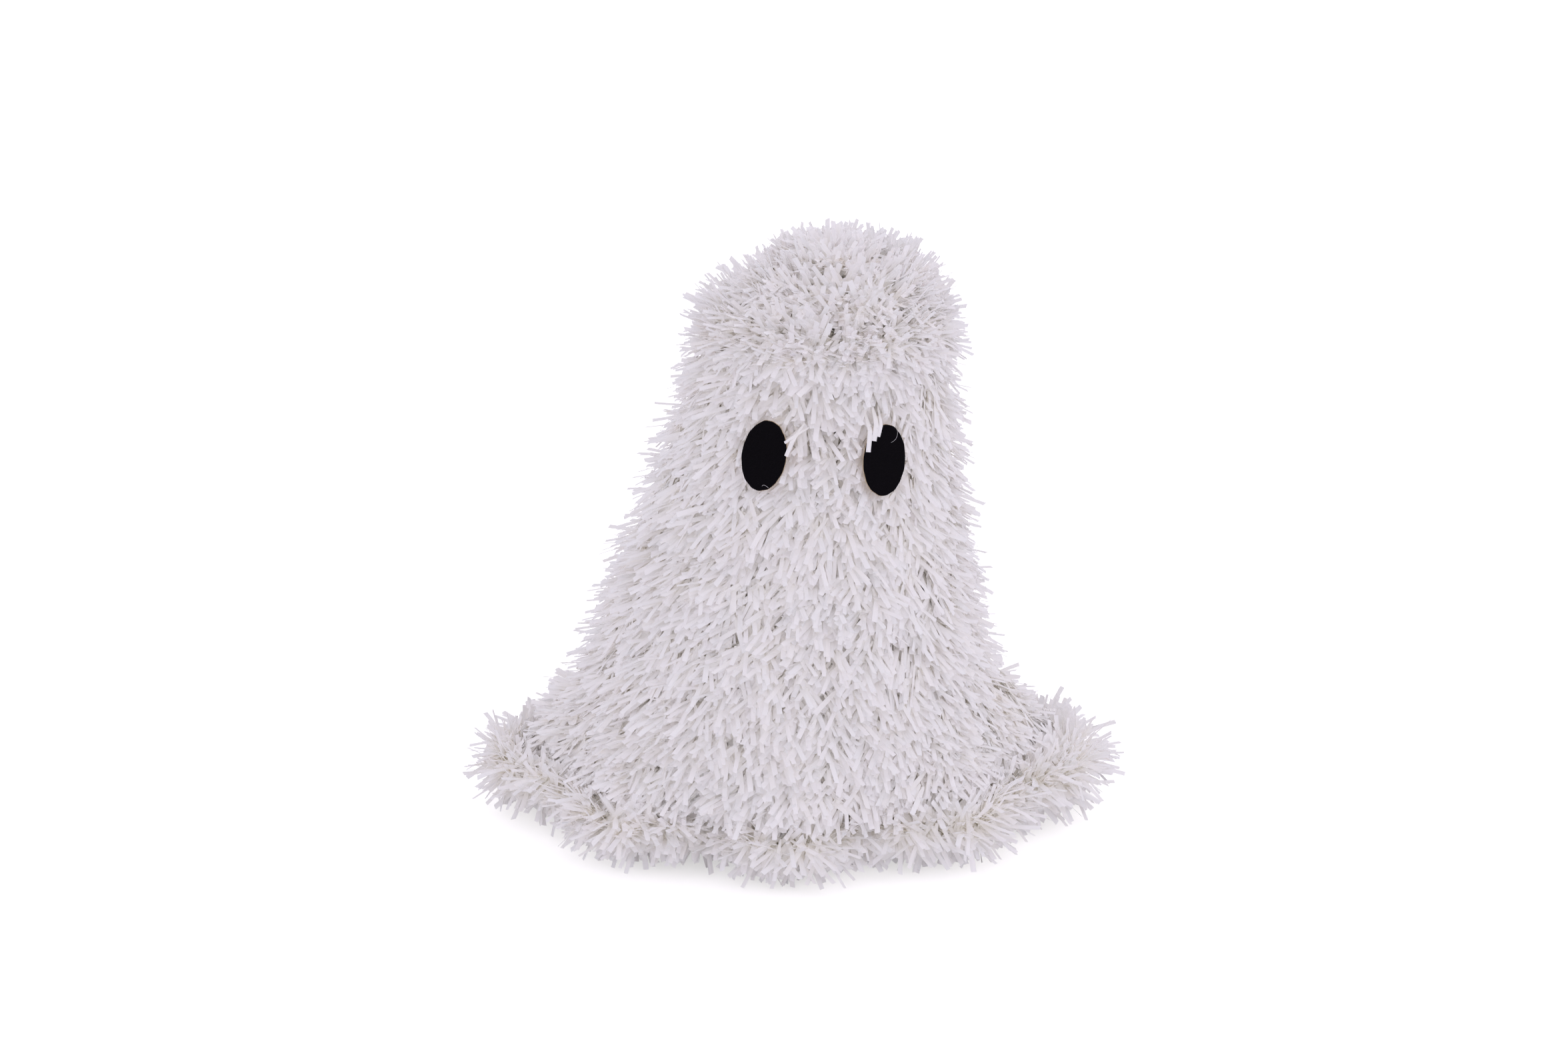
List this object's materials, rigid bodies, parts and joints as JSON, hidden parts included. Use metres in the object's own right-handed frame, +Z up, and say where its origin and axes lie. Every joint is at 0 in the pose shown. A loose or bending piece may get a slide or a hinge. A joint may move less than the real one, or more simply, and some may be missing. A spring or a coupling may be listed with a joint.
{
  "type": "tinsel ghost",
  "caption": "Free-standing ghost decoration: tinsel garland wound on a bell-shaped wire frame with a wavy hem, and oval felt eyes.",
  "frame": {"origin": "on the ground, under the middle of the hem", "axes": "+Z up; the face looks towards -Y; +X is the side that the head leans to, the viewer's right"},
  "size_m": [0.328, 0.2556, 0.3008],
  "materials": {
    "tinsel_film": "white cut film strips, satin, slightly see-through",
    "garland_core": "twisted galvanised wire",
    "frame_wire": "white painted steel wire",
    "tie_wire": "thin galvanised tie wire",
    "eye_felt": "black craft felt",
    "glue_pad": "dried hot glue"
  },
  "bodies": {
    "root": {"brow_hoop": "frame_wire", "chest_hoop": "frame_wire", "crown_ring": "frame_wire", "head_core_wire": "garland_core", "head_tinsel": "tinsel_film", "hem_core_wire": "garland_core", "hem_hoop": "frame_wire", "hem_tie_1": "tie_wire", "hem_tie_2": "tie_wire", "hem_tie_3": "tie_wire", "hem_tie_4": "tie_wire", "hem_tie_5": "tie_wire", "hem_tie_6": "tie_wire", "hem_tie_7": "tie_wire", "hem_tie_8": "tie_wire", "hem_tinsel": "tinsel_film", "left_eye": "eye_felt", "left_eye_pad": "glue_pad", "lower_body_core_wire": "garland_core", "lower_body_tinsel": "tinsel_film", "rib_1": "frame_wire", "rib_2": "frame_wire", "rib_3": "frame_wire", "rib_4": "frame_wire", "rib_5": "frame_wire", "rib_6": "frame_wire", "rib_7": "frame_wire", "rib_8": "frame_wire", "right_eye": "eye_felt", "right_eye_pad": "glue_pad", "shoulder_hoop": "frame_wire", "skirt_core_wire": "garland_core", "skirt_hoop": "frame_wire", "skirt_tinsel": "tinsel_film", "tie_2_1": "tie_wire", "tie_2_2": "tie_wire", "tie_2_3": "tie_wire", "tie_2_4": "tie_wire", "tie_4_1": "tie_wire", "tie_4_2": "tie_wire", "tie_4_3": "tie_wire", "tie_4_4": "tie_wire", "tie_6_1": "tie_wire", "tie_6_2": "tie_wire", "tie_6_3": "tie_wire", "tie_6_4": "tie_wire", "tie_8_1": "tie_wire", "tie_8_2": "tie_wire", "tie_8_3": "tie_wire", "tie_8_4": "tie_wire", "upper_body_core_wire": "garland_core", "upper_body_tinsel": "tinsel_film", "waist_hoop": "frame_wire"}
  },
  "joints": []
}
